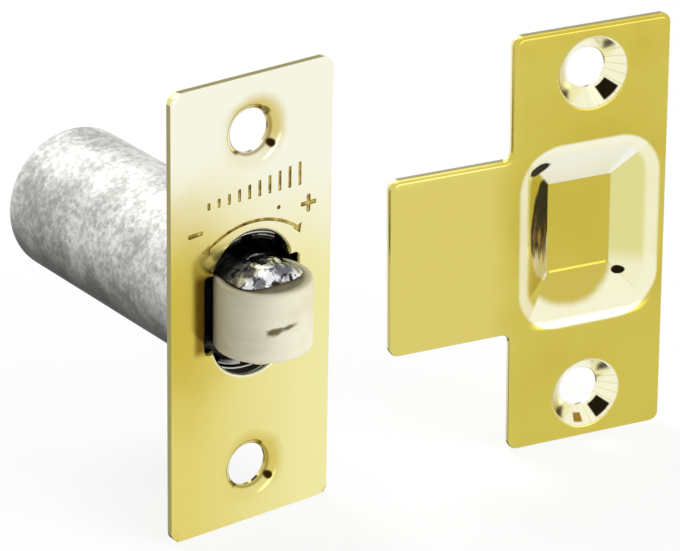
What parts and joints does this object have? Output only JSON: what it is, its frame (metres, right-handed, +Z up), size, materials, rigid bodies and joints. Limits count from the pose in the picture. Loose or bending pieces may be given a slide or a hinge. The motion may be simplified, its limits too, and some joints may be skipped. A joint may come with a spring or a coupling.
{
  "type": "roller catch",
  "caption": "Drill-in roller catch: sprung nylon roller in a tubular case behind a faceplate, adjusted through its window, with a T-shaped strike plate that has a formed pocket.",
  "frame": {"origin": "centre of the faceplate's back face, on the axis of the case tube", "axes": "+Y runs back along the case tube into the door, -Y out of the faceplate towards the roller, +Z up along the faceplate, +X towards the strike plate"},
  "size_m": [0.0766, 0.0539, 0.0638],
  "materials": {
    "polished_brass": "polished",
    "strike_brass": "polished",
    "galvanised_case": "mottled zinc coating",
    "nylon": "satin",
    "bright_steel": "polished",
    "dull_steel": "turned",
    "spring_steel": "drawn wire"
  },
  "bodies": {
    "case": {"faceplate": "polished_brass", "case_tube": "galvanised_case", "strike_plate": "strike_brass", "return_spring": "spring_steel"},
    "follower": {"spring_follower": "dull_steel"},
    "sleeve": {"adjusting_sleeve": "dull_steel"},
    "fork": {"roller_fork": "bright_steel", "axle_pin": "bright_steel"},
    "roller": {"roller": "nylon"}
  },
  "joints": [
    {"name": "press_in", "type": "slide", "parent": "case", "child": "follower", "axis": [0, 1, 0], "range_m": [0, 0.0086], "stiffness_N_per_m": 2500, "springref_m": -0.006, "deforming": ["return_spring"]},
    {"name": "adjust_turn", "type": "hinge", "parent": "follower", "child": "sleeve", "pos_m": [0, 0.008, 0], "axis": [0, 1, 0], "range_deg": [-360, 360]},
    {"name": "fork_advance", "type": "slide", "parent": "follower", "child": "fork", "axis": [0, -1, 0], "range_m": [-0.0015, 0.0015]},
    {"name": "roller_spin", "type": "hinge", "parent": "fork", "child": "roller", "pos_m": [0, -0.0035, 0], "axis": [0, 0, 1], "continuous": true}
  ],
  "couplings": [
    {"joint": "adjust_turn", "follows": "fork_advance", "rad_per_m": 4188.8}
  ]
}
